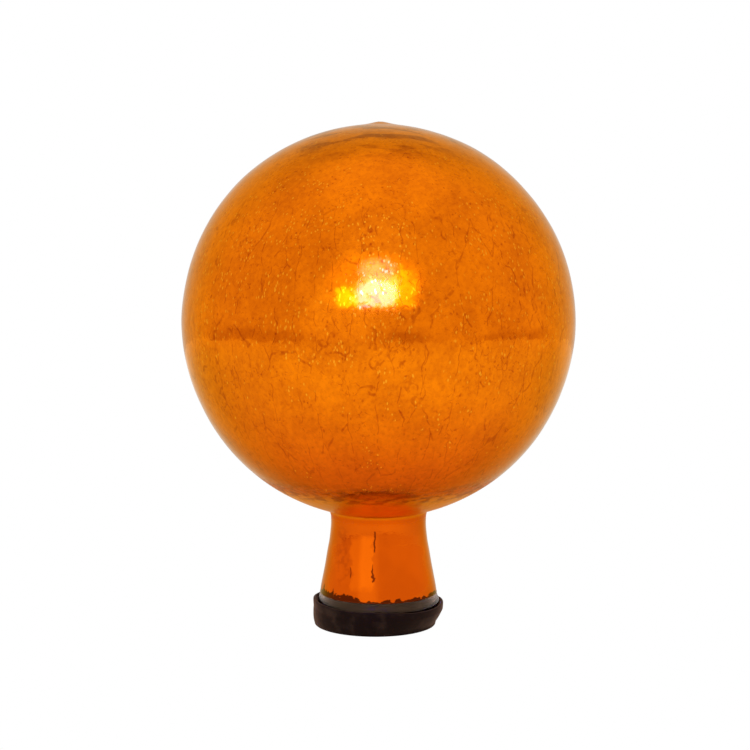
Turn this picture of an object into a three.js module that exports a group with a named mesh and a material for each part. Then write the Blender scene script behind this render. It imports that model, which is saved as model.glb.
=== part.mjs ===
// A gazing ball: one blown piece of mirrored crackle glass, a ball with a flared
// hollow neck, standing on the black rubber cap that closes the neck.
// Millimetres, +Z up. The origin is the centre of the cap's underside.

import * as THREE from "three";

// The glass ball, measured outside
const BALL_RADIUS = 127;
const BALL_WALL = 2.5;
const TIP_HEIGHT = 1; // the low knob left on top where the ball was finished
const TIP_RADIUS = 9.5;

// The glass neck, measured outside, from the ball down to the mouth
const NECK_WALL = 3;
const WAIST_RADIUS = 31.6;
const WAIST_LENGTH = 18.7;
const JUNCTION_FILLET = 2.5;
const FLARE_LENGTH = 35.8;
const FLARE_RADIUS = 38.1;
const LIP_LENGTH = 17.9;
const LIP_RADIUS = 39.8; // the widest ring, which the cap's rim surrounds
const LIP_WIDEST_DROP = 6.2; // from the flare's end down to that ring
const MOUTH_RADIUS = 37.7;

// The rubber cap
const CAP_WALL = 1.9;
const CAP_FLOOR = 3;
const CAP_DEPTH = 13; // inside, from its floor to its rim
const CAP_CLEARANCE = 0.3; // between rubber and glass, at the wall and at the floor
const CAP_FOOT_ROUNDING = 2.4;
const CAP_RIM_STAND_OFF = 0.5; // the rim springs away from the glass
const CAP_RIM_RISE = 1.3; // the rim sits this much higher at -X and lower at +X
const CAP_RIM_BULGE = 0.5; // and bulges this much at the front and the back

// How finely the round stretches are cut
const SIDES = 48;
const OUTER_RING_DEGREES = 6;
const INNER_RING_DEGREES = 9;
const FLARE_STEPS = 6;
const LIP_STEPS = 3;
const ROUNDING_STEPS = 4;
const EASE = 0.3; // share of a wall's height over which it leaves or arrives upright

// Heights that follow from the sizes above
const MOUTH_Z = CAP_FLOOR + CAP_CLEARANCE;
const LIP_TOP_Z = MOUTH_Z + LIP_LENGTH;
const LIP_WIDEST_Z = LIP_TOP_Z - LIP_WIDEST_DROP;
const WAIST_BOTTOM_Z = LIP_TOP_Z + FLARE_LENGTH;
const BALL_CENTRE_Z = WAIST_BOTTOM_Z + WAIST_LENGTH + legOf(BALL_RADIUS, WAIST_RADIUS);

/** The other short side of a right-angled triangle. */
function legOf(longSide, shortSide) {
  return Math.sqrt(longSide ** 2 - shortSide ** 2);
}

/** Points along an arc in the (radius, height) plane, angles in radians. */
function arc(radiusAt, heightAt, size, from, to, steps) {
  const clockwise = to < from;
  return new THREE.EllipseCurve(radiusAt, heightAt, size, size, from, to, clockwise).getPoints(steps);
}

/** Points along one side of the ball, with one of them always at its widest ring. */
function ballArc(size, from, to, ringDegrees) {
  const stretch = (a, b) => {
    const steps = Math.ceil(THREE.MathUtils.radToDeg(Math.abs(b - a)) / ringDegrees);
    return arc(0, BALL_CENTRE_Z, size, a, b, steps);
  };
  return [...stretch(from, 0), ...stretch(0, to)];
}

/** Points along a cubic curve that leaves and arrives upright, so it blends into its neighbours. */
function easedWall(fromRadius, fromZ, toRadius, toZ, steps) {
  const lead = (toZ - fromZ) * EASE;
  return new THREE.CubicBezierCurve(
    new THREE.Vector2(fromRadius, fromZ),
    new THREE.Vector2(fromRadius, fromZ + lead),
    new THREE.Vector2(toRadius, toZ - lead),
    new THREE.Vector2(toRadius, toZ),
  ).getPoints(steps);
}

/** Turns a profile of (radius, height) points about the Z axis, with repeated points dropped. */
function turned(profile) {
  const apart = profile.filter((p, i) => i === 0 || p.distanceTo(profile[i - 1]) > 1e-3);
  return new THREE.LatheGeometry(apart, SIDES).rotateX(Math.PI / 2);
}

/** The neck's wall from the mouth's rounding up to the waist: its outside, or set in by its thickness. */
function neckWall(inset) {
  return [
    ...easedWall(MOUTH_RADIUS - inset, MOUTH_Z + NECK_WALL / 2, LIP_RADIUS - inset, LIP_WIDEST_Z, LIP_STEPS),
    ...easedWall(LIP_RADIUS - inset, LIP_WIDEST_Z, FLARE_RADIUS - inset, LIP_TOP_Z, LIP_STEPS),
    ...easedWall(FLARE_RADIUS - inset, LIP_TOP_Z, WAIST_RADIUS - inset, WAIST_BOTTOM_Z, FLARE_STEPS),
  ];
}

function glassGlobe() {
  // Inside, from the top down to where the hollow of the neck begins
  const innerRadius = BALL_RADIUS - BALL_WALL;
  const boreRadius = WAIST_RADIUS - NECK_WALL;
  const innerEnd = -Math.acos(boreRadius / innerRadius);
  const innerBall = ballArc(innerRadius, Math.PI / 2, innerEnd, INNER_RING_DEGREES);

  // The mouth's rounded end
  const lipEnd = arc(
    MOUTH_RADIUS - NECK_WALL / 2, MOUTH_Z + NECK_WALL / 2, NECK_WALL / 2,
    -Math.PI, 0,
    ROUNDING_STEPS,
  );

  // The small fillet between the waist and the underside of the ball
  const filletRadiusAt = WAIST_RADIUS + JUNCTION_FILLET;
  const filletDrop = legOf(BALL_RADIUS + JUNCTION_FILLET, filletRadiusAt);
  const filletEnd = Math.atan2(filletDrop, -filletRadiusAt);
  const fillet = arc(
    filletRadiusAt, BALL_CENTRE_Z - filletDrop, JUNCTION_FILLET,
    Math.PI, filletEnd,
    ROUNDING_STEPS,
  );

  // Outside, up to the low knob on top
  const outerStart = filletEnd - Math.PI;
  const outerEnd = Math.acos(TIP_RADIUS / BALL_RADIUS);
  const outerBall = ballArc(BALL_RADIUS, outerStart, outerEnd, OUTER_RING_DEGREES);
  const topZ = BALL_CENTRE_Z + BALL_RADIUS + TIP_HEIGHT;
  const knob = new THREE.QuadraticBezierCurve(
    outerBall[outerBall.length - 1],
    new THREE.Vector2(TIP_RADIUS / 2, topZ),
    new THREE.Vector2(0, topZ),
  ).getPoints(ROUNDING_STEPS);

  const geometry = turned([
    ...innerBall,
    ...neckWall(NECK_WALL).reverse(),
    ...lipEnd,
    ...neckWall(0),
    ...fillet,
    ...outerBall,
    ...knob,
  ]);
  const orangeMirror = new THREE.MeshStandardMaterial({ color: 0xe97206, roughness: 0.06, metalness: 1 });
  const mesh = new THREE.Mesh(geometry, orangeMirror);
  mesh.name = "glass_globe";
  return mesh;
}

function rubberCap() {
  const floorCorner = new THREE.Vector2(MOUTH_RADIUS + CAP_CLEARANCE, CAP_FLOOR);
  const rimZ = CAP_FLOOR + CAP_DEPTH;
  const rimInner = LIP_RADIUS + CAP_CLEARANCE + CAP_RIM_STAND_OFF;
  const rimRounding = CAP_WALL / 2;

  // Outside: flat underside, rounded foot, then a wall that leans out to the rim
  const footRadius = floorCorner.x + CAP_WALL;
  const foot = arc(
    footRadius - CAP_FOOT_ROUNDING, CAP_FOOT_ROUNDING, CAP_FOOT_ROUNDING,
    -Math.PI / 2, 0,
    ROUNDING_STEPS,
  );
  const outerWall = new THREE.QuadraticBezierCurve(
    foot[foot.length - 1],
    new THREE.Vector2(rimInner + CAP_WALL, rimZ / 2),
    new THREE.Vector2(rimInner + CAP_WALL, rimZ - rimRounding),
  ).getPoints(LIP_STEPS);
  const rim = arc(rimInner + rimRounding, rimZ - rimRounding, rimRounding, 0, Math.PI, ROUNDING_STEPS);

  // Inside: the wall follows the glass lip down to the floor
  const lipWall = easedWall(
    floorCorner.x, MOUTH_Z + NECK_WALL / 2,
    LIP_RADIUS + CAP_CLEARANCE, LIP_WIDEST_Z,
    LIP_STEPS,
  ).filter((p) => p.y < rimZ - CAP_WALL);

  const geometry = turned([
    new THREE.Vector2(0, 0),
    ...foot,
    ...outerWall,
    ...rim,
    ...lipWall.reverse(),
    floorCorner,
    new THREE.Vector2(0, CAP_FLOOR),
  ]);

  // The soft rim rides up on one side and bulges at the front and the back
  const position = geometry.attributes.position;
  for (let i = 0; i < position.count; i++) {
    const x = position.getX(i);
    const y = position.getY(i);
    const z = position.getZ(i);
    const lift = Math.max(0, (z - CAP_FLOOR) / CAP_DEPTH);
    const turn = Math.atan2(y, x);
    const push = 1 + (CAP_RIM_BULGE * lift * Math.sin(turn) ** 2) / rimInner;
    position.setXYZ(i, x * push, y * push, z - CAP_RIM_RISE * lift * Math.cos(turn));
  }

  const blackRubber = new THREE.MeshStandardMaterial({ color: 0x2a211e, roughness: 0.72, metalness: 0 });
  const mesh = new THREE.Mesh(geometry, blackRubber);
  mesh.name = "rubber_cap";
  return mesh;
}

const gazingBall = new THREE.Group();
gazingBall.add(glassGlobe(), rubberCap());

export default gazingBall;
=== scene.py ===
import math

import bmesh
import bpy
from mathutils import Matrix, Vector, noise


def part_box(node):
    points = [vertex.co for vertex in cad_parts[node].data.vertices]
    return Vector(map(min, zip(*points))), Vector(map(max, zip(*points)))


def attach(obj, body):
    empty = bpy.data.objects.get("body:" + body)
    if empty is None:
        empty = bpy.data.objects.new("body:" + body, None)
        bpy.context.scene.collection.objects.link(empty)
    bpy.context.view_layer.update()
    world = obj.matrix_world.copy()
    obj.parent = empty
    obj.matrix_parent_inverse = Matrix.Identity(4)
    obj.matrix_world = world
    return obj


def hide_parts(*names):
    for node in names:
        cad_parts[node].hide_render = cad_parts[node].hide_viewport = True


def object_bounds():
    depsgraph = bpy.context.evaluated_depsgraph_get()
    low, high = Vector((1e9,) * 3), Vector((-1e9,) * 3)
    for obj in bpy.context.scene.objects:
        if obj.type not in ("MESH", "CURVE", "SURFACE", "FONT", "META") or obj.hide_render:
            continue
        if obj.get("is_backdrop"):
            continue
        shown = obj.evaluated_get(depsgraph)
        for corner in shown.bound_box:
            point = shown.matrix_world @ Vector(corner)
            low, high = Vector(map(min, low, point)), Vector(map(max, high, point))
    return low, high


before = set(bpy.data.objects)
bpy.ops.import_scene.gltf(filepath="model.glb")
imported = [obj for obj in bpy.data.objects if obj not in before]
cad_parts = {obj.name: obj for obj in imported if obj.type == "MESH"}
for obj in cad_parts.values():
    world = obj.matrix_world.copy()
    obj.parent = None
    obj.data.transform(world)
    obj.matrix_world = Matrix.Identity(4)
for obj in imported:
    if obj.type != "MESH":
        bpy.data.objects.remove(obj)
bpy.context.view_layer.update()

# Glass globe: one blown bubble of clear glass with its flared neck left on. It
# was quenched hot, which crazed it all through, and silvered and tinted orange
# inside, down to a ragged edge. The lip below that edge is bare glass.
glass_low, glass_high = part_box("glass_globe")
KNOB_HEIGHT = 0.001
KNOB_SPREAD = 0.0065
KNOB_OFF_CENTRE = 0.0012
BALL_RADIUS = (glass_high.x - glass_low.x) / 2
BALL_WALL = 0.0025
BALL_CENTRE = Vector((0, 0, glass_high.z - KNOB_HEIGHT - BALL_RADIUS))
NECK_WALL = 0.003
WAIST_RADIUS = 0.0316
JUNCTION_FILLET = 0.0025
FLARE_LENGTH = 0.0358
FLARE_RADIUS = 0.0381
FLARE_EASE = 0.2
LIP_LENGTH = 0.0179
LIP_RADIUS = 0.0398
LIP_WIDEST_DROP = 0.0062
MOUTH_RADIUS = 0.0377
MOUTH_Z = glass_low.z
LIP_TOP_Z = MOUTH_Z + LIP_LENGTH
LIP_WIDEST_Z = LIP_TOP_Z - LIP_WIDEST_DROP
WAIST_BOTTOM_Z = LIP_TOP_Z + FLARE_LENGTH

GLASS_SIDES = 288
BALL_STEP = 0.0028
NECK_STEP = 0.0022
LIP_STEP = 0.0009
INNER_STEP = 0.014
SAME_POINT = 1e-6


def arc(radius_at, z_at, size, start, end, step):
    """Points (radius, z) along an arc, angles in radians, about step apart."""
    steps = max(3, math.ceil(abs(end - start) * size / step))
    angles = [start + (end - start) * i / steps for i in range(steps + 1)]
    return [(radius_at + size * math.cos(a), z_at + size * math.sin(a)) for a in angles]


def eased_wall(low, high, step, share=0.3):
    """Points from (radius, z) low to high along a cubic that leaves and arrives upright."""
    (r0, z0), (r1, z1) = low, high
    steps = max(3, math.ceil((z1 - z0) / step))
    points = []
    for i in range(steps + 1):
        t = i / steps
        lead = share * (z1 - z0)
        z = (1 - t) ** 3 * z0 + 3 * (1 - t) ** 2 * t * (z0 + lead)
        z += 3 * (1 - t) * t * t * (z1 - lead) + t**3 * z1
        points.append((r0 + (r1 - r0) * (3 * t * t - 2 * t**3), z))
    return points


def neck_wall(inset, lip_step, neck_step):
    """The neck from the mouth up to the waist: its outside, or set in by its thickness."""
    mouth = (MOUTH_RADIUS - inset, MOUTH_Z + NECK_WALL / 2)
    widest = (LIP_RADIUS - inset, LIP_WIDEST_Z)
    flare = (FLARE_RADIUS - inset, LIP_TOP_Z)
    waist = (WAIST_RADIUS - inset, WAIST_BOTTOM_Z)
    return (
        eased_wall(mouth, widest, lip_step * 2)
        + eased_wall(widest, flare, lip_step)
        + eased_wall(flare, waist, neck_step, FLARE_EASE)
    )


def placed(name, data):
    """An object of that name in the scene."""
    made = bpy.data.objects.new(name, data)
    bpy.context.scene.collection.objects.link(made)
    return made


def mesh_of(name, bm):
    """The bmesh as a mesh of that name. The bmesh is used up."""
    mesh = bpy.data.meshes.new(name)
    bm.to_mesh(mesh)
    bm.free()
    return mesh


def turned(name, outline, sides):
    """A mesh object made by spinning an outline of (radius, z) points about the Z axis."""
    bm = bmesh.new()
    verts = []
    for r, z in outline:
        if not verts or (verts[-1].co - Vector((r, 0, z))).length > SAME_POINT:
            verts.append(bm.verts.new((r, 0, z)))
    edges = [bm.edges.new(pair) for pair in zip(verts, verts[1:])]
    bmesh.ops.spin(
        bm,
        geom=verts + edges,
        cent=(0, 0, 0),
        axis=(0, 0, 1),
        angle=2 * math.pi,
        steps=sides,
        use_merge=True,
    )
    bmesh.ops.remove_doubles(bm, verts=bm.verts, dist=SAME_POINT)
    bmesh.ops.recalc_face_normals(bm, faces=bm.faces)
    mesh = mesh_of(name, bm)
    mesh.shade_smooth()
    return placed(name, mesh)


inner_radius = BALL_RADIUS - BALL_WALL
bore_radius = WAIST_RADIUS - NECK_WALL
bore_end = -math.acos(bore_radius / inner_radius)
inner_ball = arc(0, BALL_CENTRE.z, inner_radius, math.pi / 2, bore_end, INNER_STEP)
mouth_radius_at = MOUTH_RADIUS - NECK_WALL / 2
mouth_end = arc(mouth_radius_at, MOUTH_Z + NECK_WALL / 2, NECK_WALL / 2, -math.pi, 0, LIP_STEP)
fillet_radius_at = WAIST_RADIUS + JUNCTION_FILLET
fillet_drop = math.sqrt((BALL_RADIUS + JUNCTION_FILLET) ** 2 - fillet_radius_at**2)
fillet_end = math.atan2(fillet_drop, -fillet_radius_at)
JUNCTION_Z = BALL_CENTRE.z - fillet_drop
fillet = arc(fillet_radius_at, JUNCTION_Z, JUNCTION_FILLET, math.pi, fillet_end, LIP_STEP)
outer_ball = arc(0, BALL_CENTRE.z, BALL_RADIUS, fillet_end - math.pi, math.pi / 2, BALL_STEP)

globe = turned(
    "crackle_glass_globe",
    inner_ball
    + neck_wall(NECK_WALL, LIP_STEP * 2, NECK_STEP * 3)[::-1]
    + mouth_end
    + neck_wall(0, LIP_STEP, NECK_STEP)
    + eased_wall((WAIST_RADIUS, WAIST_BOTTOM_Z), (WAIST_RADIUS, JUNCTION_Z), NECK_STEP)
    + fillet
    + outer_ball,
    GLASS_SIDES,
)

# The outside sinks and swells a little, as blown glass does, though less round
# its widest ring. The knob where it was cracked off the pipe stands on top, the
# waist is drawn in, and a fine bead marks the lip's start.
OUTER_SKIN = 0.0005
WOBBLE_DEPTH = 0.0009
WOBBLE_SPAN = 0.055
RIPPLE_DEPTH = 0.00014
RIPPLE_SPAN = 0.014
SINK_FADE = 0.07
WIDEST_RING_SHARE = 0.2
WIDEST_RING_CALM = 0.8
NECK_SWAY = 0.0003
NECK_SWAY_SPAN = 0.02
WAIST_DIP = 0.0005
WAIST_DIP_LENGTH = 0.009
WAIST_EASE_DROP = 0.0065
LIP_BEAD = 0.00025
LIP_BEAD_SPREAD = 0.0006
LIP_INSIDE_CAP = 0.005
for vertex in globe.data.vertices:
    out = vertex.co - BALL_CENTRE
    reach = math.hypot(vertex.co.x, vertex.co.y)
    if out.length > BALL_RADIUS - OUTER_SKIN and vertex.co.z > JUNCTION_Z + JUNCTION_FILLET:
        fade = min(1, (vertex.co.z - JUNCTION_Z) / SINK_FADE)
        widest = 1 - min(1, abs(out.z) / (WIDEST_RING_SHARE * BALL_RADIUS))
        wobble = 0.5 + 0.5 * noise.noise(vertex.co / WOBBLE_SPAN)
        sink = WOBBLE_DEPTH * wobble * (1 - WIDEST_RING_CALM * widest)
        sink += RIPPLE_DEPTH * (0.5 + 0.5 * noise.noise(vertex.co / RIPPLE_SPAN))
        off_centre = math.hypot(vertex.co.x - KNOB_OFF_CENTRE, vertex.co.y)
        knob = math.exp(-((off_centre / KNOB_SPREAD) ** 2)) if out.z > 0 else 0
        sink *= 1 - knob
        vertex.co += out.normalized() * (KNOB_HEIGHT * knob - sink * fade)
    elif MOUTH_Z + LIP_INSIDE_CAP < vertex.co.z <= JUNCTION_Z and reach > WAIST_RADIUS - OUTER_SKIN:
        bead = LIP_BEAD * math.exp(-(((vertex.co.z - LIP_TOP_Z) / LIP_BEAD_SPREAD) ** 2))
        sway = NECK_SWAY * noise.noise(vertex.co / NECK_SWAY_SPAN)
        drawn_in = WAIST_DIP * min(1, max(0, (vertex.co.z - WAIST_BOTTOM_Z) / WAIST_DIP_LENGTH))
        eased = (vertex.co.z - WAIST_BOTTOM_Z + WAIST_EASE_DROP) / WAIST_DIP_LENGTH
        grown = bead + sway - drawn_in + WAIST_DIP * math.exp(-(eased**2))
        vertex.co.x *= 1 + grown / reach
        vertex.co.y *= 1 + grown / reach


def add(tree, kind, inputs=None, **settings):
    """A new node with its settings, and its inputs given as values or as sockets to link."""
    made = tree.nodes.new(kind)
    for name, value in settings.items():
        setattr(made, name, value)
    for name, value in (inputs or {}).items():
        if isinstance(value, bpy.types.NodeSocket):
            tree.links.new(value, made.inputs[name])
        else:
            made.inputs[name].default_value = value
    return made


def finish_of(name):
    """A new material, its node tree, its shader and the place on the piece."""
    made = bpy.data.materials.new(name)
    made.use_nodes = True
    tree = made.node_tree
    place = add(tree, "ShaderNodeTexCoord").outputs["Object"]
    return made, tree, tree.nodes["Principled BSDF"], place


def maths(tree, operation, *values):
    return add(tree, "ShaderNodeMath", dict(enumerate(values)), operation=operation).outputs[0]


def product(tree, first, *others):
    """All of the values multiplied together."""
    for other in others:
        first = maths(tree, "MULTIPLY", first, other)
    return first


def vector_maths(tree, operation, *values):
    return add(tree, "ShaderNodeVectorMath", dict(enumerate(values)), operation=operation).outputs[0]


def ramp(tree, value, low, high, to_low=0.0, to_high=1.0):
    """Value from low to high, mapped smoothly to to_low up to to_high."""
    ends = {"Value": value, "From Min": low, "From Max": high, "To Min": to_low, "To Max": to_high}
    made = add(tree, "ShaderNodeMapRange", ends, interpolation_type="SMOOTHSTEP")
    return made.outputs["Result"]


def blend(tree, share, first, second):
    """One colour changed into another by share."""
    made = add(tree, "ShaderNodeMix", {"Factor": share, 6: first, 7: second}, data_type="RGBA")
    return made.outputs[2]


def noise_field(tree, position, size, detail):
    """Noise with lumps of that size, as a factor and as a colour."""
    ends = {"Vector": position, "Scale": 1 / size, "Detail": detail}
    return add(tree, "ShaderNodeTexNoise", ends).outputs


def mottle(tree, position, size, detail=2.0):
    return noise_field(tree, position, size, detail)["Fac"]


def around_zero(tree, colour, reach):
    """A colour's three parts moved to lie about zero and scaled by reach, given for each axis."""
    centred = vector_maths(tree, "SUBTRACT", colour, (0.5, 0.5, 0.5))
    return vector_maths(tree, "MULTIPLY", centred, reach)


def warped(tree, position, size, sway, upright):
    """The place shifted by sway metres of noise of that size, and pressed so cells stand upright."""
    swirl = noise_field(tree, position, size, 1.0)["Color"]
    shift = around_zero(tree, swirl, (sway, sway, sway))
    moved = vector_maths(tree, "ADD", position, shift)
    return vector_maths(tree, "MULTIPLY", moved, (1, 1, 1 / upright))


def crack_lines(tree, position, cell, width):
    """1 on the cracks of a network with cells of that size, 0 off them, width in metres."""
    ends = {"Vector": position, "Scale": 1 / cell}
    cells = add(tree, "ShaderNodeTexVoronoi", ends, feature="DISTANCE_TO_EDGE")
    return ramp(tree, cells.outputs["Distance"], 0.3 * width / cell, width / cell, 1, 0)


def plates(tree, position, cell):
    """The small plates between cracks: the distance from each one's middle, and its seed."""
    made = add(tree, "ShaderNodeTexVoronoi", {"Vector": position, "Scale": 1 / cell}).outputs
    return made["Distance"], made["Color"]


# The mirror coat with the crackled glass over it. Cracks run through the glass
# in several sizes and break up what it reflects, but stop short of the neck.
coat, tree, shader, place = finish_of("mirror_coated_crackle_glass")
axes = add(tree, "ShaderNodeSeparateXYZ", {0: place}).outputs
side, depth, height_up = axes["X"], axes["Y"], axes["Z"]
PATCH_SIZE = 0.018
CRACKLE_FADE = 0.012
patches = mottle(tree, place, PATCH_SIZE, 2.0)
on_ball = ramp(tree, height_up, JUNCTION_Z, JUNCTION_Z + CRACKLE_FADE)

# Long cracks stand upright, laid out on the ball's skin as if unrolled, and
# break off here and there and under the crown.
LONG_CELL = 0.016
LONG_WIDTH = 0.00038
LONG_SHARE = 0.45
LONG_BREAK_SIZE = 0.0055
LONG_FADE_FROM_Z = 0.26
LONG_END_Z = 0.29
around = maths(tree, "ARCTAN2", side, maths(tree, "MULTIPLY", depth, -1.0))
around = maths(tree, "MULTIPLY", around, BALL_RADIUS)
unrolled = add(tree, "ShaderNodeCombineXYZ", {0: around, 2: height_up}).outputs[0]
swayed = warped(tree, unrolled, 0.010, 0.006, 4.0)
unbroken = ramp(tree, mottle(tree, place, LONG_BREAK_SIZE, 1.0), 0.40, 0.54)
below_crown = ramp(tree, height_up, LONG_FADE_FROM_Z, LONG_END_Z, 1, 0)
long_cracks = crack_lines(tree, swayed, LONG_CELL, LONG_WIDTH)
long_cracks = product(tree, long_cracks, unbroken, below_crown)

# Short strokes lie between them, thicker in some patches, with dark specks.
STROKE_CELL = 0.0050
STROKE_WIDTH = 0.0003
STROKE_SHARE = 0.42
STROKE_BREAK_SIZE = 0.0028
STROKE_LEAST = 0.15
SPECK_CELL = 0.0023
SPECK_SHARE = 0.45
fine_swayed = warped(tree, place, 0.004, 0.0022, 1.3)
strokes = crack_lines(tree, fine_swayed, STROKE_CELL, STROKE_WIDTH)
unbroken = ramp(tree, mottle(tree, place, STROKE_BREAK_SIZE, 1.0), 0.52, 0.60)
in_patches = ramp(tree, patches, 0.46, 0.60, STROKE_LEAST, 1.0)
strokes = product(tree, strokes, unbroken, in_patches)
from_middle, plate_seed = plates(tree, fine_swayed, SPECK_CELL)
plate_draws = add(tree, "ShaderNodeSeparateColor", {0: plate_seed}).outputs
specks = ramp(tree, from_middle, 0.18, 0.42, 1, 0)
dark_specks = product(tree, specks, ramp(tree, plate_draws["Red"], 0.88, 0.94))
long_shown = product(tree, long_cracks, LONG_SHARE)
strokes_shown = product(tree, strokes, STROKE_SHARE)
cracks = maths(tree, "MAXIMUM", long_shown, strokes_shown)
cracks = maths(tree, "MAXIMUM", cracks, product(tree, dark_specks, SPECK_SHARE))
cracks = product(tree, cracks, on_ball)

# Painted glints: tiny plates painted a lighter, yellower orange in the base colour, as if they
# caught the light. They come in clumps, and fewer of them low down and near the top.
GLINT_CELL = 0.0016
GLINT_CLUMP_SIZE = 0.015
GLINT_CLUMPING = 2.4
PAINTED_GLINT_SHARE = 0.8
glint_place = warped(tree, place, 0.004, 0.0016, 2.2)
from_middle, glint_seed = plates(tree, glint_place, GLINT_CELL)
glint_draws = add(tree, "ShaderNodeSeparateColor", {0: glint_seed}).outputs
clumps = mottle(tree, place, GLINT_CLUMP_SIZE, 1.5)
chance = maths(tree, "MULTIPLY_ADD", clumps, GLINT_CLUMPING, glint_draws["Green"])
chance = maths(tree, "ADD", chance, ramp(tree, height_up, 0.165, 0.20, -0.35, 0.0))
chance = maths(tree, "ADD", chance, ramp(tree, height_up, 0.27, 0.30, 0.0, -0.3))
painted_glints = ramp(tree, from_middle, 0.18, 0.40, 1, 0)
painted_glints = product(tree, painted_glints, ramp(tree, chance, 1.94, 2.06), on_ball)

# The glass is darker in wide areas, plate by plate, in a fine grain, in cracks,
# and in the folds near the knob, where the bubble was drawn off the pipe.
TONE_SIZE = 0.03
TONE_SHARE = 0.2
MOSAIC_SIZE = 0.0034
MOSAIC_SHARE = 0.17
PLATE_SHARE = 0.08
GRAIN_SIZE = 0.0020
GRAIN_SHARE = 0.17
CRACK_SHARE = 0.8
FOLD_SIZE = 0.010
FOLD_STRETCH = 0.35
FOLD_SHARE = 0.7
CROWN_FROM_Z = BALL_CENTRE.z + 0.098
CROWN_FADE = 0.022
tone = ramp(tree, mottle(tree, place, TONE_SIZE, 4.0), 0.35, 0.65, 0.0, TONE_SHARE)
mosaic = ramp(tree, mottle(tree, fine_swayed, MOSAIC_SIZE, 4.0), 0.34, 0.66, 0.0, MOSAIC_SHARE)
mosaic = maths(tree, "MULTIPLY_ADD", plate_draws["Blue"], PLATE_SHARE, mosaic)
grain = ramp(tree, mottle(tree, place, GRAIN_SIZE, 3.0), 0.48, 0.72, 0.0, GRAIN_SHARE)
mosaic = product(tree, maths(tree, "ADD", mosaic, grain), on_ball)
shade = maths(tree, "ADD", tone, mosaic)
shade = maths(tree, "ADD", shade, product(tree, cracks, CRACK_SHARE))
crown = ramp(tree, height_up, CROWN_FROM_Z, CROWN_FROM_Z + CROWN_FADE)
stretched = vector_maths(tree, "MULTIPLY", place, (FOLD_STRETCH, 1, 1))
folds = ramp(tree, mottle(tree, stretched, FOLD_SIZE, 3.0), 0.46, 0.60, 0.0, FOLD_SHARE)
shade = maths(tree, "ADD", shade, product(tree, folds, crown))

# Its colour: darker and redder low down and on the neck, which is painted shade,
# lighter and yellower just above the joint, which is painted light, and a ring of brown
# streaks above that, where the glass was worked.
ORANGE = (1.0, 0.237, 0.0005, 1)
PAINTED_SHADE_ORANGE = (0.80, 0.118, 0.0004, 1)
PAINTED_LIGHT_ORANGE = (1.0, 0.34, 0.002, 1)
CRACK_ORANGE = (0.42, 0.045, 0.0003, 1)
PAINTED_GLINT_ORANGE = (1.0, 0.38, 0.014, 1)
REDDER_FROM_Z = 0.172
REDDEST_AT_Z = 0.092
PAINTED_LIGHT_SHARE = 0.85
STREAK_SIZE = 0.007
STREAK_FLATNESS = 2.5
STREAK_SHARE = 0.75
# Painted shade: darker and redder from the lower half of the ball down over the neck.
painted_low_shade = ramp(tree, height_up, REDDEST_AT_Z, REDDER_FROM_Z, 1, 0)
colour = blend(tree, painted_low_shade, ORANGE, PAINTED_SHADE_ORANGE)
colour = blend(tree, shade, colour, CRACK_ORANGE)
# Painted highlight: the glints lighten the base colour to a yellower orange.
colour = blend(tree, product(tree, painted_glints, PAINTED_GLINT_SHARE), colour, PAINTED_GLINT_ORANGE)
# Painted light: a lighter, yellower band on the ball just above the joint, over the neck's
# reflection.
painted_light_band = ramp(tree, height_up, JUNCTION_Z + 0.016, JUNCTION_Z + 0.024, PAINTED_LIGHT_SHARE, 0)
above_joint = ramp(tree, height_up, JUNCTION_Z - 0.001, JUNCTION_Z + 0.003)
colour = blend(tree, product(tree, painted_light_band, above_joint), colour, PAINTED_LIGHT_ORANGE)
flattened = vector_maths(tree, "MULTIPLY", place, (1, 1, STREAK_FLATNESS))
streaks = ramp(tree, mottle(tree, flattened, STREAK_SIZE, 4.0), 0.42, 0.60)
streaks_start = ramp(tree, height_up, JUNCTION_Z + 0.013, JUNCTION_Z + 0.019)
streaks_end = ramp(tree, height_up, JUNCTION_Z + 0.023, JUNCTION_Z + 0.034, 1, 0)
streaks = product(tree, streaks, STREAK_SHARE, streaks_start, streaks_end)
colour = blend(tree, streaks, colour, CRACK_ORANGE)

# The coat stops short of the lip in a ragged brown edge, deeper on the left.
COAT_EDGE_BROWN = (0.11, 0.013, 0.0, 1)
EDGE_NARROW = 0.0018
EDGE_WIDE = 0.0048
EDGE_WIDE_AT_X = -0.035
EDGE_RAG_SIZE = 0.005
edge_depth = ramp(tree, side, EDGE_WIDE_AT_X, 0.0, EDGE_WIDE, EDGE_NARROW)
ragged = ramp(tree, mottle(tree, place, EDGE_RAG_SIZE, 4.0), 0.3, 0.7, 0.3, 1.7)
edge_depth = product(tree, edge_depth, ragged)
above_lip = maths(tree, "SUBTRACT", height_up, LIP_TOP_Z)
edge_share = ramp(tree, maths(tree, "DIVIDE", above_lip, edge_depth), 0.8, 1.1, 1, 0)
colour = blend(tree, edge_share, colour, COAT_EDGE_BROWN)

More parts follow.
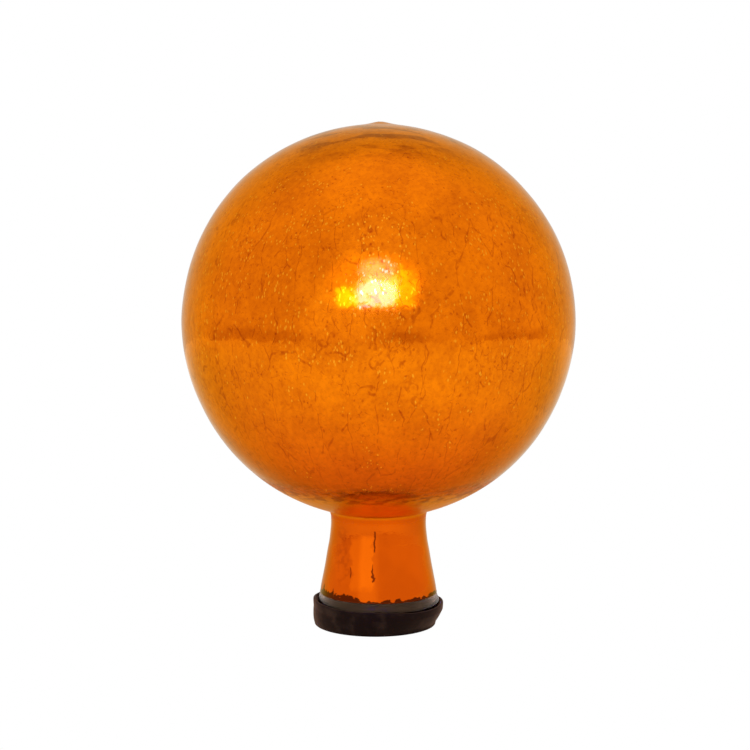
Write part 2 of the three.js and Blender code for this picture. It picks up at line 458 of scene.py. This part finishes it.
# On the front of the neck a painted reflection lightens one ragged upright
# stripe, three dark scratches stand in it, and a faint stain lies left of it.
# Each mark's numbers are left, right, bottom, top, how far it wavers and how soft its edge is.
PAINTED_REFLECTION_ORANGE = (1.0, 0.165, 0.0006, 1)
SCRATCH_BROWN = (0.16, 0.012, 0.0, 1)
PAINTED_REFLECTION_STRIPE = (-0.0172, -0.0034, 0.0300, 0.0625, 0.0045, 0.0013)
PAINTED_REFLECTION_SHARE = 0.65
SCRATCHES = (
    (-0.0029, -0.0020, 0.0535, 0.0665, 0.0018, 0.0003),
    (-0.0042, -0.0029, 0.0345, 0.0455, 0.0060, 0.0003),
    (-0.0182, -0.0176, 0.0365, 0.0430, 0.0010, 0.0003),
)
SCRATCH_SHARE = 0.9
STAIN = (-0.027, -0.0190, 0.033, 0.067, 0.0045, 0.0025)
STAIN_SHARE = 0.35
STAIN_FOLD_SIZE = 0.004
MARK_WAVER_SIZE = 0.006
FRONT_FROM_Y = -0.01
FRONT_FULL_Y = -0.02
on_front = ramp(tree, depth, FRONT_FULL_Y, FRONT_FROM_Y, 1, 0)


def upright_mark(left, right, bottom, top, waver, soft):
    """1 on a mark standing on the front of the neck, 0 off it."""
    sway = mottle(tree, place, MARK_WAVER_SIZE, 3.0)
    sway = maths(tree, "MULTIPLY_ADD", sway, 2 * waver, -waver)
    across = maths(tree, "ADD", side, sway)
    rises = maths(tree, "ADD", height_up, sway)
    return product(
        tree,
        ramp(tree, across, left - soft, left + soft),
        on_front,
        ramp(tree, across, right - soft, right + soft, 1, 0),
        ramp(tree, rises, bottom - 2 * soft, bottom + 2 * soft),
        ramp(tree, rises, top - 2 * soft, top + 2 * soft, 1, 0),
    )


# Painted reflection: a lighter ragged stripe down the front of the neck.
painted_reflection_stripe = product(tree, upright_mark(*PAINTED_REFLECTION_STRIPE), PAINTED_REFLECTION_SHARE)
colour = blend(tree, painted_reflection_stripe, colour, PAINTED_REFLECTION_ORANGE)
for scratch in SCRATCHES:
    scratched = product(tree, upright_mark(*scratch), SCRATCH_SHARE)
    colour = blend(tree, scratched, colour, SCRATCH_BROWN)
stain_folds = ramp(tree, mottle(tree, place, STAIN_FOLD_SIZE, 3.0), 0.42, 0.60)
stain = product(tree, upright_mark(*STAIN), stain_folds, STAIN_SHARE)
colour = blend(tree, stain, colour, CRACK_ORANGE)
tree.links.new(colour, shader.inputs["Base Color"])

# It is a bright mirror, duller in patches and next to the neck, under glass.
GLOSSIEST = 0.06
DULLEST = 0.13
UNDERSIDE_DULLNESS = 0.28
underneath = ramp(tree, height_up, JUNCTION_Z + 0.020, JUNCTION_Z + 0.032, UNDERSIDE_DULLNESS, 0.0)
off_neck = ramp(tree, height_up, JUNCTION_Z - 0.006, JUNCTION_Z - 0.001)
dullness = ramp(tree, patches, 0.3, 0.7, GLOSSIEST, DULLEST)
dullness = maths(tree, "ADD", dullness, product(tree, underneath, off_neck))
tree.links.new(dullness, shader.inputs["Roughness"])
shader.inputs["Metallic"].default_value = 1.0
shader.inputs["Specular Tint"].default_value = (0.96, 0.87, 0.5, 1)
shader.inputs["Coat Weight"].default_value = 0.04
shader.inputs["Coat Roughness"].default_value = 0.04
shader.inputs["Coat IOR"].default_value = 1.5

# Each small plate leans its own way, every crack is a shallow groove, the skin
# swells, and the glass is wrinkled round the joint with the neck.
PLATE_LEAN = 0.022
CRACK_DEPTH = 0.000012
SWELL_SIZE = 0.011
SWELL_DEPTH = 0.00006
WRINKLE_SIZE = 0.0042
WRINKLE_DEPTH = 0.00045
NECK_WRINKLE_SHARE = 0.15
lean = around_zero(tree, plate_seed, (PLATE_LEAN, PLATE_LEAN, PLATE_LEAN))
lean = add(tree, "ShaderNodeVectorMath", {0: lean, "Scale": on_ball}, operation="SCALE").outputs[0]
outward = add(tree, "ShaderNodeNewGeometry").outputs["Normal"]
leaning = vector_maths(tree, "NORMALIZE", vector_maths(tree, "ADD", outward, lean))
swell = product(tree, mottle(tree, place, SWELL_SIZE, 2.0), SWELL_DEPTH)
wrinkles = mottle(tree, place, WRINKLE_SIZE, 3.0)
wrinkled = ramp(tree, height_up, JUNCTION_Z + 0.020, JUNCTION_Z + 0.036, WRINKLE_DEPTH, 0)
past_neck = ramp(tree, height_up, JUNCTION_Z - 0.004, JUNCTION_Z + 0.002, NECK_WRINKLE_SHARE, 1)
wrinkled = product(tree, wrinkled, past_neck)
relief = maths(tree, "SUBTRACT", swell, product(tree, cracks, CRACK_DEPTH))
relief = maths(tree, "MULTIPLY_ADD", wrinkles, wrinkled, relief)
bump = add(tree, "ShaderNodeBump", {"Height": relief, "Normal": leaning, "Distance": 1.0})
tree.links.new(bump.outputs["Normal"], shader.inputs["Normal"])
tree.links.new(bump.outputs["Normal"], shader.inputs["Coat Normal"])

# The bare lip: the same clear glass with no coat behind it, smeared with dust.
CLEAN_GLASS = (0.60, 0.45, 0.37, 1)
DUSTY_GLASS = (0.42, 0.28, 0.21, 1)
SMEAR_SIZE = 0.006
RIPPLE_SIZE = 0.003
GLASS_RIPPLE_DEPTH = 0.00006
bare_glass, tree, shader, place = finish_of("bare_clear_glass")
smears = mottle(tree, place, SMEAR_SIZE, 4.0)
colour = blend(tree, ramp(tree, smears, 0.35, 0.7), CLEAN_GLASS, DUSTY_GLASS)
tree.links.new(colour, shader.inputs["Base Color"])
tree.links.new(ramp(tree, smears, 0.3, 0.7, 0.06, 0.22), shader.inputs["Roughness"])
shader.inputs["Transmission Weight"].default_value = 1.0
shader.inputs["IOR"].default_value = 1.45
shader.inputs["Specular IOR Level"].default_value = 0.2
shader.inputs["Specular Tint"].default_value = (1.0, 0.73, 0.52, 1)
ripples = product(tree, mottle(tree, place, RIPPLE_SIZE, 2.0), GLASS_RIPPLE_DEPTH)
bump = add(tree, "ShaderNodeBump", {"Height": ripples, "Distance": 1.0})
tree.links.new(bump.outputs["Normal"], shader.inputs["Normal"])

# The back of the mirror coat, seen only through the lip or the mouth: a dull
# grey brown backing paint.
BACKING_BROWN = (0.10, 0.055, 0.03, 1)
BACKING_GREY = (0.05, 0.035, 0.028, 1)
BRUSHING_SIZE = 0.009
coat_back, tree, shader, place = finish_of("mirror_backing_paint")
brushing = mottle(tree, place, BRUSHING_SIZE, 5.0)
colour = blend(tree, ramp(tree, brushing, 0.3, 0.7), BACKING_BROWN, BACKING_GREY)
tree.links.new(colour, shader.inputs["Base Color"])
tree.links.new(ramp(tree, brushing, 0.3, 0.7, 0.5, 0.75), shader.inputs["Roughness"])

for material in (coat, bare_glass, coat_back):
    globe.data.materials.append(material)
COAT_SLOT, BARE_SLOT, BACK_SLOT = range(3)
for face in globe.data.polygons:
    outwards = face.normal.dot(face.center - BALL_CENTRE) > 0
    if MOUTH_Z + NECK_WALL < face.center.z < JUNCTION_Z:
        outwards = face.normal.x * face.center.x + face.normal.y * face.center.y > 0
    if face.center.z < LIP_TOP_Z:
        face.material_index = BARE_SLOT
    else:
        face.material_index = COAT_SLOT if outwards else BACK_SLOT

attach(globe, "root")
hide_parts("glass_globe")


# Rubber cap: a soft black moulded cap stretched over the lip. Its rim has gone
# slack: it rides up at the left, sags at the corners and stands off the glass.
CAP_WALL = 0.0019
CAP_FLOOR = 0.003
CAP_DEPTH = 0.013
CAP_CLEARANCE = 0.0003
CAP_FOOT_ROUNDING = 0.001
CAP_RIM_STAND_OFF = 0.0005
CAP_SIDES = 256
CAP_STEP = 0.0006
CAP_FLAT_RINGS = 8

rim_z = CAP_FLOOR + CAP_DEPTH
rim_inner = LIP_RADIUS + CAP_CLEARANCE + CAP_RIM_STAND_OFF
floor_radius = MOUTH_RADIUS + CAP_CLEARANCE
foot_radius_at = floor_radius + CAP_WALL - CAP_FOOT_ROUNDING
foot = arc(foot_radius_at, CAP_FOOT_ROUNDING, CAP_FOOT_ROUNDING, -math.pi / 2, 0, CAP_STEP)
rim_rounding = CAP_WALL / 2
rim = arc(rim_inner + rim_rounding, rim_z - rim_rounding, rim_rounding, 0, math.pi, CAP_STEP / 2)
wall_low, wall_high = foot[-1], rim[0]
wall_steps = math.ceil((wall_high[1] - wall_low[1]) / CAP_STEP)
outer_wall = [
    (
        wall_low[0] + (wall_high[0] - wall_low[0]) * (1 - (1 - i / wall_steps) ** 2),
        wall_low[1] + (wall_high[1] - wall_low[1]) * i / wall_steps,
    )
    for i in range(1, wall_steps)
]
seat = (floor_radius, MOUTH_Z + NECK_WALL / 2)
lip_wall = eased_wall(seat, (LIP_RADIUS + CAP_CLEARANCE, rim_z - CAP_WALL), CAP_STEP * 2)
flat_rings = [foot_radius_at * i / CAP_FLAT_RINGS for i in range(CAP_FLAT_RINGS + 1)]

cap = turned(
    "black_rubber_cap",
    [(r, 0) for r in flat_rings]
    + foot
    + outer_wall
    + rim
    + lip_wall[::-1]
    + [(r * floor_radius / foot_radius_at, CAP_FLOOR) for r in flat_rings[::-1]],
    CAP_SIDES,
)

# The set of soft rubber: the foot sits a little to the left, the right side is
# tucked in below, and the rim's edge wavers.
RIM_RISE = 0.0013
RIM_BULGE = 0.0005
RIM_SAG = 0.0006
RIM_WAVER = 0.0005
WALL_WAVER = 0.0003
WALL_WAVER_FULL_Z = 0.004
FOOT_SHIFT = 0.0024
FOOT_SHIFT_TO_Z = 0.011
TUCK = 0.0008
TUCK_FULL_Z = 0.002
TUCK_TURN = 0.5
SLACK_FROM_RADIUS = 0.030


def round_the_rim(turn, level, lumps):
    """Smooth noise that closes on itself round the cap, with about that many lumps in a radian."""
    return noise.noise(Vector((math.cos(turn), math.sin(turn), level)) * lumps)


for vertex in cap.data.vertices:
    x, y, z = vertex.co
    reach = max(1e-9, math.hypot(x, y))
    turn = math.atan2(y, x)
    lift = max(0, (z - CAP_FLOOR) / CAP_DEPTH)
    outwards = (vertex.normal.x * x + vertex.normal.y * y) / reach
    outside = z > rim_z - rim_rounding or outwards > 0.05 or vertex.normal.z < -0.3
    slack = (reach - SLACK_FROM_RADIUS) / (rim_inner - SLACK_FROM_RADIUS) if outside else 0
    slack = min(1, max(0, slack))
    low = max(0, 1 - z / FOOT_SHIFT_TO_Z)
    out = RIM_BULGE * lift * math.sin(turn) ** 2
    waver = round_the_rim(turn, 0.3, 3.1) + max(0, -math.cos(turn))
    out += slack * WALL_WAVER * waver * min(1, z / WALL_WAVER_FULL_Z)
    tucked = max(0, math.cos(turn + TUCK_TURN)) ** 2 * min(1, z / TUCK_FULL_Z)
    out -= slack * TUCK * tucked * low
    vertex.co.x += out * x / reach - FOOT_SHIFT * slack * low
    vertex.co.y += out * y / reach
    rise = -RIM_RISE * math.cos(turn) - RIM_SAG * math.sin(2 * turn) ** 2
    rise += RIM_WAVER * round_the_rim(turn, 4.7, 2.3)
    vertex.co.z = max(0, z + lift * rise)

# Matt rubber, nearly black in front, greyed by dust where it catches the light.
RUBBER_BLACK = (0.009, 0.0042, 0.0024, 1)
DUSTY_BROWN = (0.028, 0.016, 0.010, 1)
DUST_SIZE = 0.009
RUBBER_GRAIN_SIZE = 0.0009
RUBBER_GRAIN_DEPTH = 0.00004
CREASE_SIZE = 0.006
CREASE_FLATNESS = 3
CREASE_DEPTH = 0.0002
rubber, tree, shader, place = finish_of("black_rubber")
dust = mottle(tree, place, DUST_SIZE, 5.0)
colour = blend(tree, ramp(tree, dust, 0.46, 0.72), RUBBER_BLACK, DUSTY_BROWN)
tree.links.new(colour, shader.inputs["Base Color"])
tree.links.new(ramp(tree, dust, 0.3, 0.7, 0.62, 0.85), shader.inputs["Roughness"])
shader.inputs["Specular IOR Level"].default_value = 0.03
shader.inputs["Sheen Weight"].default_value = 0.33
shader.inputs["Sheen Roughness"].default_value = 0.4
shader.inputs["Sheen Tint"].default_value = (0.85, 0.50, 0.34, 1)
grain = product(tree, mottle(tree, place, RUBBER_GRAIN_SIZE, 2.0), RUBBER_GRAIN_DEPTH)
flattened = vector_maths(tree, "MULTIPLY", place, (1, 1, CREASE_FLATNESS))
creases = product(tree, mottle(tree, flattened, CREASE_SIZE, 3.0), CREASE_DEPTH)
relief = maths(tree, "ADD", grain, creases)
bump = add(tree, "ShaderNodeBump", {"Height": relief, "Distance": 1.0})
tree.links.new(bump.outputs["Normal"], shader.inputs["Normal"])
cap.data.materials.append(rubber)
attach(cap, "root")
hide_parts("rubber_cap")


# Table: a round white table top, so evenly lit that the photograph shows it as
# plain white. Reflections see it fall into shade to the sides and behind.
TABLE_RADIUS = 1.45
TABLE_SIDES = 128
TABLE_WHITE = (0.93, 0.93, 0.93, 1)
TABLE_SHADED = (0.70, 0.68, 0.66, 1)
TABLE_FAR_SHADE = (0.84, 0.78, 0.74, 1)
TABLE_FAR_FROM = 0.6
bm = bmesh.new()
bmesh.ops.create_circle(bm, cap_ends=True, radius=TABLE_RADIUS, segments=TABLE_SIDES)
table = placed("table", mesh_of("table", bm))
table_paint, tree, shader, place = finish_of("table_paint")
path = add(tree, "ShaderNodeLightPath").outputs
towards = vector_maths(tree, "NORMALIZE", place)
front = add(tree, "ShaderNodeVectorMath", {0: towards, 1: (0, -1, 0)}, operation="DOT_PRODUCT")
facing_front = ramp(tree, front.outputs["Value"], -1.0, 1.0)
in_mirror = blend(tree, facing_front, TABLE_SHADED, TABLE_WHITE)
distance = add(tree, "ShaderNodeVectorMath", {0: place}, operation="LENGTH").outputs["Value"]
# Painted shade: reflections see the far part of the table darker and warmer.
painted_far_shade = ramp(tree, distance, TABLE_FAR_FROM, TABLE_RADIUS)
in_mirror = blend(tree, painted_far_shade, in_mirror, TABLE_FAR_SHADE)
colour = blend(tree, path["Is Glossy Ray"], TABLE_WHITE, in_mirror)
tree.links.new(colour, shader.inputs["Base Color"])
shader.inputs["Roughness"].default_value = 1.0
shader.inputs["Specular IOR Level"].default_value = 0.0
white = add(tree, "ShaderNodeEmission", {"Color": (1, 1, 1, 1), "Strength": 1.0}).outputs[0]
shown = {0: path["Is Camera Ray"], 1: shader.outputs[0], 2: white}
shown = add(tree, "ShaderNodeMixShader", shown).outputs[0]
tree.links.new(shown, tree.nodes["Material Output"].inputs["Surface"])
table.data.materials.append(table_paint)
table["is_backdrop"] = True

# Studio: even white light from all round. Only reflections see the room: its
# warm walls, a bright wall left of the camera and a bright ceiling over it, and
# dark things beyond the table's edge. Degrees, azimuth 0 towards the camera.
world = bpy.data.worlds.new("studio")
bpy.context.scene.world = world
world.use_nodes = True
sky = world.node_tree
sky.nodes.clear()
looking = add(sky, "ShaderNodeTexCoord").outputs["Generated"]
direction = add(sky, "ShaderNodeSeparateXYZ", {0: looking}).outputs
to_degrees = 180 / math.pi
towards_front = maths(sky, "MULTIPLY", direction["Y"], -1.0)
azimuth = maths(sky, "ARCTAN2", direction["X"], towards_front)
azimuth = maths(sky, "MULTIPLY", azimuth, to_degrees)
elevation = maths(sky, "MULTIPLY", maths(sky, "ARCSINE", direction["Z"]), to_degrees)


def oval(tree, across, up, middle, half, soft):
    """1 inside an oval, fading to 0 over soft of its half width on both sides of its edge."""
    across = maths(tree, "DIVIDE", maths(tree, "SUBTRACT", across, middle[0]), half[0])
    up = maths(tree, "DIVIDE", maths(tree, "SUBTRACT", up, middle[1]), half[1])
    squares = maths(tree, "ADD", product(tree, across, across), product(tree, up, up))
    return ramp(tree, maths(tree, "SQRT", squares), 1 - soft, 1 + soft, 1, 0)


# Each oval's middle, half width and half height, softness and share
ROOM_FRONT = (0.87, 0.77, 0.67, 1)
ROOM_BACK = (0.72, 0.66, 0.64, 1)
CEILING = (0.98, 0.90, 0.80, 1)
CEILING_FROM = 55
CEILING_FULL = 75
DARK_THINGS = (0.68, 0.52, 0.46, 1)
DARK_OVALS = (
    ((-78, -6), (36, 5), 0.5, 1.0),
    ((15, -6), (11, 5), 0.5, 1.0),
    ((86, -7), (28, 4), 0.5, 1.0),
)
BRIGHT_WALL = (1.04, 1.02, 1.0, 1)
BRIGHT_OVALS = (
    ((-22, 4), (19, 17), 0.35, 0.9),
    ((-32, 13), (5, 6), 0.5, 1.0),
    ((0, 50), (24, 16), 0.5, 1.0),
)
behind = ramp(sky, maths(sky, "ABSOLUTE", azimuth), 90, 175)
room = blend(sky, behind, ROOM_FRONT, ROOM_BACK)
room = blend(sky, ramp(sky, elevation, CEILING_FROM, CEILING_FULL), room, CEILING)
for ovals, paint in ((DARK_OVALS, DARK_THINGS), (BRIGHT_OVALS, BRIGHT_WALL)):
    for middle, half, soft, share in ovals:
        share = product(sky, oval(sky, azimuth, elevation, middle, half, soft), share)
        room = blend(sky, share, room, paint)

WHITE = (1, 1, 1, 1)
FILL_STRENGTH = 1.08
seen = add(sky, "ShaderNodeBackground", {"Color": WHITE, "Strength": 1.0}).outputs[0]
filling = add(sky, "ShaderNodeBackground", {"Color": WHITE, "Strength": FILL_STRENGTH}).outputs[0]
walls = add(sky, "ShaderNodeBackground", {"Color": room, "Strength": 1.0}).outputs[0]
path = add(sky, "ShaderNodeLightPath").outputs
lit = add(sky, "ShaderNodeMixShader", {0: path["Is Glossy Ray"], 1: filling, 2: walls}).outputs[0]
shown = add(sky, "ShaderNodeMixShader", {0: path["Is Camera Ray"], 1: lit, 2: seen}).outputs[0]
add(sky, "ShaderNodeOutputWorld", {"Surface": shown})

# Softbox: a small lamp close in front of the ball and above its middle, which
# only mirrors see. Its face is patchy, pale in the middle and yellow round it,
# and its glow ends at a sill. The pale parts are far bluer than they look,
# because the orange coat takes nearly all the blue out of them.
SOFTBOX_Y = -0.45
SOFTBOX_LOW = 0.29
SOFTBOX_HIGH = 0.56
SOFTBOX_HALF_WIDTH = 0.26
SOFTBOX_SILL = 0.303
SOFTBOX_SILL_SOFT = 0.006
SOFTBOX_RAG_SIZE = 0.035
SOFTBOX_RAG = (0.05, 0, 0.035)
SOFTBOX_BLOTCH_SIZE = 0.030
softbox_middle = Vector((0, SOFTBOX_Y, (SOFTBOX_LOW + SOFTBOX_HIGH) / 2))
softbox_half_height = (SOFTBOX_HIGH - SOFTBOX_LOW) / 2
stood_up = (
    Matrix.Translation(softbox_middle)
    @ Matrix.Rotation(math.pi / 2, 4, "X")
    @ Matrix.Diagonal((SOFTBOX_HALF_WIDTH, softbox_half_height, 1, 1))
)
bm = bmesh.new()
bmesh.ops.create_grid(bm, x_segments=1, y_segments=1, size=1, matrix=stood_up)
softbox = placed("softbox", mesh_of("softbox", bm))
softbox.visible_camera = False
softbox.visible_diffuse = False
softbox.visible_transmission = False
softbox.visible_shadow = False
softbox_glow = bpy.data.materials.new("softbox_glow")
softbox_glow.use_nodes = True
tree = softbox_glow.node_tree
tree.nodes.clear()
place = add(tree, "ShaderNodeTexCoord").outputs["Object"]
swirl = noise_field(tree, place, SOFTBOX_RAG_SIZE, 3.0)["Color"]
ragged_place = vector_maths(tree, "ADD", place, around_zero(tree, swirl, SOFTBOX_RAG))
ragged_place = add(tree, "ShaderNodeSeparateXYZ", {0: ragged_place}).outputs
blotches = ramp(tree, mottle(tree, place, SOFTBOX_BLOTCH_SIZE, 3.0), 0.36, 0.46, 0.3, 1.0)
sill_low = SOFTBOX_SILL - SOFTBOX_SILL_SOFT
sill_high = SOFTBOX_SILL + SOFTBOX_SILL_SOFT
above_sill = ramp(tree, ragged_place["Z"], sill_low, sill_high)


def glow_spot(middle, half, soft, strength):
    """Light inside a ragged oval of the softbox, none outside it and below the sill."""
    spot = oval(tree, ragged_place["X"], ragged_place["Z"], middle, half, soft)
    return product(tree, spot, above_sill, strength)


CORE_WARM = 3.6
CORE_COLD = 190.0
VEIL_WARM = 1.9
VEIL_COLD = 55.0
halo = glow_spot((-0.01, 0.41), (0.20, 0.14), 0.35, 0.38)
right_lobe = glow_spot((0.10, 0.375), (0.055, 0.085), 0.3, 1.5)
left_lobe = glow_spot((-0.13, 0.335), (0.045, 0.04), 0.3, 2.2)
core = glow_spot((-0.01, 0.345), (0.08, 0.065), 0.25, blotches)
veil = glow_spot((0.0, 0.43), (0.065, 0.07), 0.4, blotches)
warm = maths(tree, "ADD", halo, maths(tree, "MAXIMUM", right_lobe, left_lobe))
warm = maths(tree, "MULTIPLY_ADD", core, CORE_WARM, warm)
warm = maths(tree, "MULTIPLY_ADD", veil, VEIL_WARM, warm)
cold = product(tree, core, core, CORE_COLD)
cold = maths(tree, "MULTIPLY_ADD", veil, VEIL_COLD, cold)
light = add(tree, "ShaderNodeCombineColor", {0: warm, 1: warm, 2: cold}).outputs[0]
lamp = add(tree, "ShaderNodeEmission", {"Color": light, "Strength": 1.0}).outputs[0]
clear = add(tree, "ShaderNodeBsdfTransparent").outputs[0]
both = add(tree, "ShaderNodeAddShader", {0: lamp, 1: clear}).outputs[0]
add(tree, "ShaderNodeOutputMaterial", {"Surface": both})
softbox.data.materials.append(softbox_glow)
softbox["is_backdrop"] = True

# Camera: a long lens a little above the ball's middle, looking slightly down.
CAMERA_DISTANCE = 1.2
CAMERA_ELEVATION = math.radians(4.35)
PHOTO_SIDE = 750
LENS_IN_PIXELS = 1855
SENSOR_WIDTH = 36
BALL_LEFT_OF_MIDDLE = -3.5
BALL_ABOVE_MIDDLE = 53.9
camera = placed("camera", bpy.data.cameras.new("camera"))
camera.data.sensor_width = SENSOR_WIDTH
camera.data.lens = SENSOR_WIDTH * LENS_IN_PIXELS / PHOTO_SIDE
towards_camera = Vector((0, -math.cos(CAMERA_ELEVATION), math.sin(CAMERA_ELEVATION)))
camera.location = BALL_CENTRE + CAMERA_DISTANCE * towards_camera
camera.rotation_euler = (
    math.pi / 2 - CAMERA_ELEVATION - math.atan(BALL_ABOVE_MIDDLE / LENS_IN_PIXELS),
    0,
    -math.atan(BALL_LEFT_OF_MIDDLE / LENS_IN_PIXELS),
)
bpy.context.scene.camera = camera
bpy.context.scene.view_settings.view_transform = "Standard"

low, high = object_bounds()
